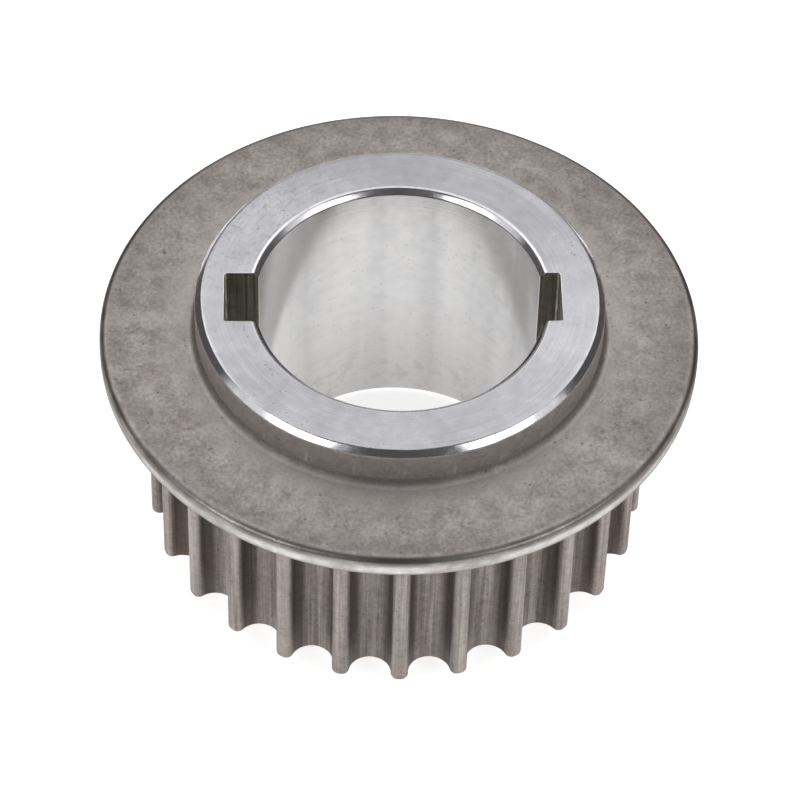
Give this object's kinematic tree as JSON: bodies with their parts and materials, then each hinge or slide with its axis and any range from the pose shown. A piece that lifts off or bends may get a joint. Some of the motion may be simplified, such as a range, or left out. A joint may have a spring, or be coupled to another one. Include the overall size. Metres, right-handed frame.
{
  "type": "timing belt pulley",
  "caption": "Sintered steel timing belt pulley with curved teeth on its rim, a wide guide flange at one end of them, a raised machined boss and a keyed through bore.",
  "frame": {"origin": "centre of the hub's lower face, on the bore's axis, where the pulley stands on a surface", "axes": "+Z along the bore from the toothed end towards the boss, -X towards the deep keyway, -Y through the middle of a tooth"},
  "size_m": [0.0764, 0.0764, 0.0392],
  "materials": {
    "sintered_steel": "matte sintered steel on the teeth and the boss wall, turned bright on the boss face, the chamfers and the bore",
    "flange_steel": "matte mottled steel, polished bright along the outer rim"
  },
  "bodies": {
    "root": {"toothed_hub": "sintered_steel", "guide_flange": "flange_steel"}
  },
  "joints": []
}
